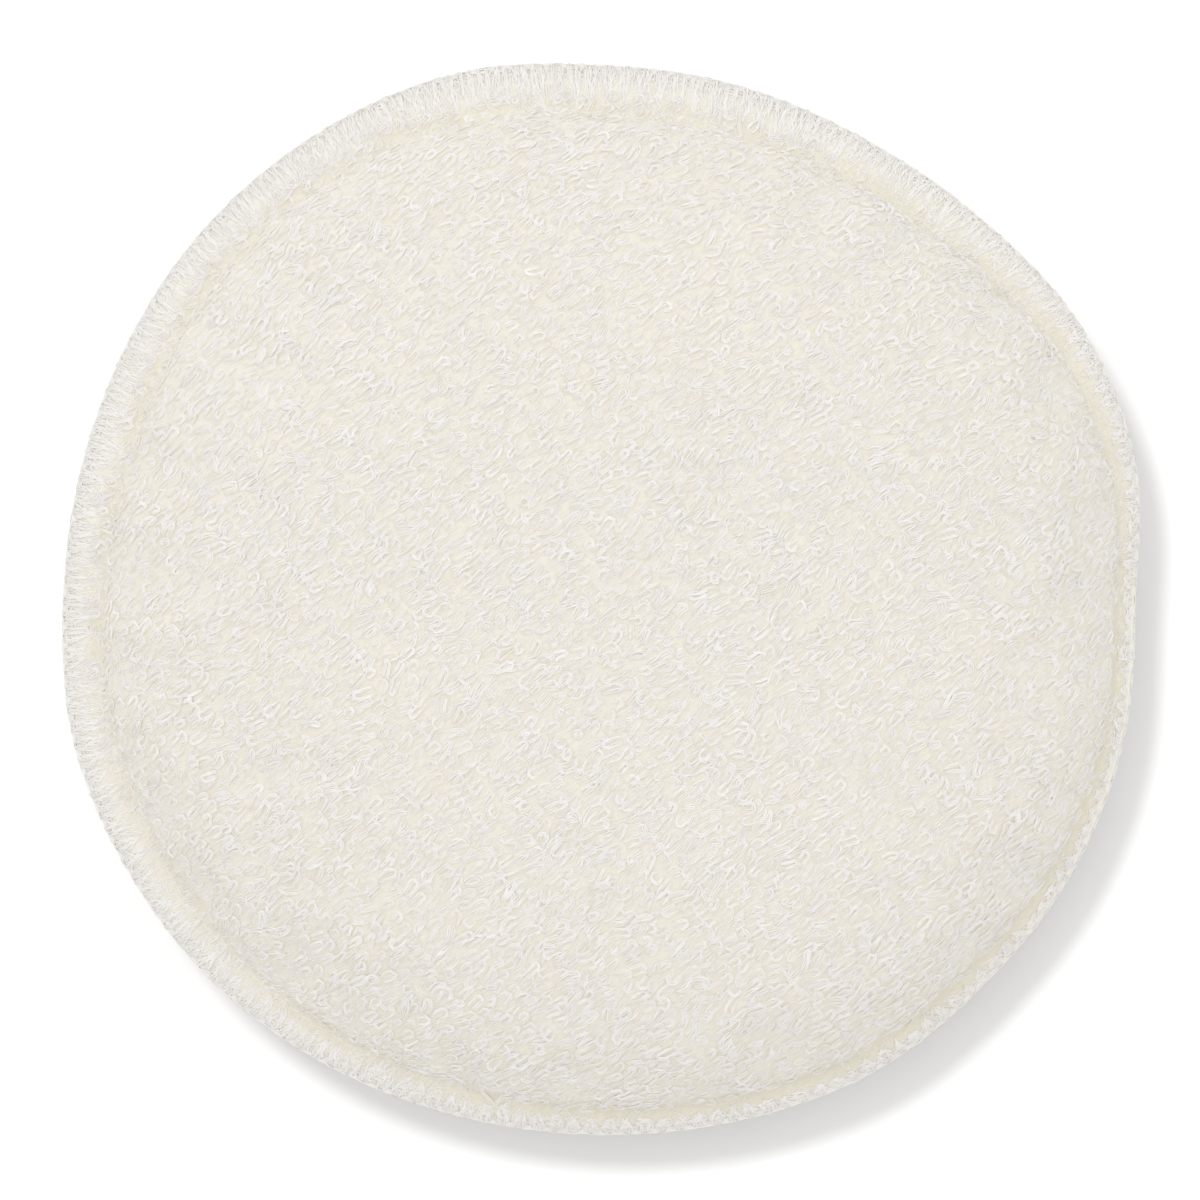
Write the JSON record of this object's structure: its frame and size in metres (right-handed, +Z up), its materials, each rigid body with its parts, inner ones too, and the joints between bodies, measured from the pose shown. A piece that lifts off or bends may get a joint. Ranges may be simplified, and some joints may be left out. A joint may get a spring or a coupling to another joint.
{
  "type": "body sponge",
  "caption": "Round padded body sponge: a foam core between two looped terry covers, closed round the rim by an overlocked seam.",
  "frame": {"origin": "under the middle of the pad, on the surface that its back cover lies on", "axes": "+Z up through the pad's thickness towards the front cover, +X to the right and +Y to the top of the front face"},
  "size_m": [0.1301, 0.1294, 0.028],
  "materials": {
    "terry_cloth": "matte",
    "foam": "matte",
    "sewing_thread": "matte"
  },
  "bodies": {
    "root": {"front_cover": "terry_cloth", "back_cover": "terry_cloth", "foam_core": "foam", "upper_looper_thread": "sewing_thread", "lower_looper_thread": "sewing_thread", "needle_thread": "sewing_thread"}
  },
  "joints": []
}
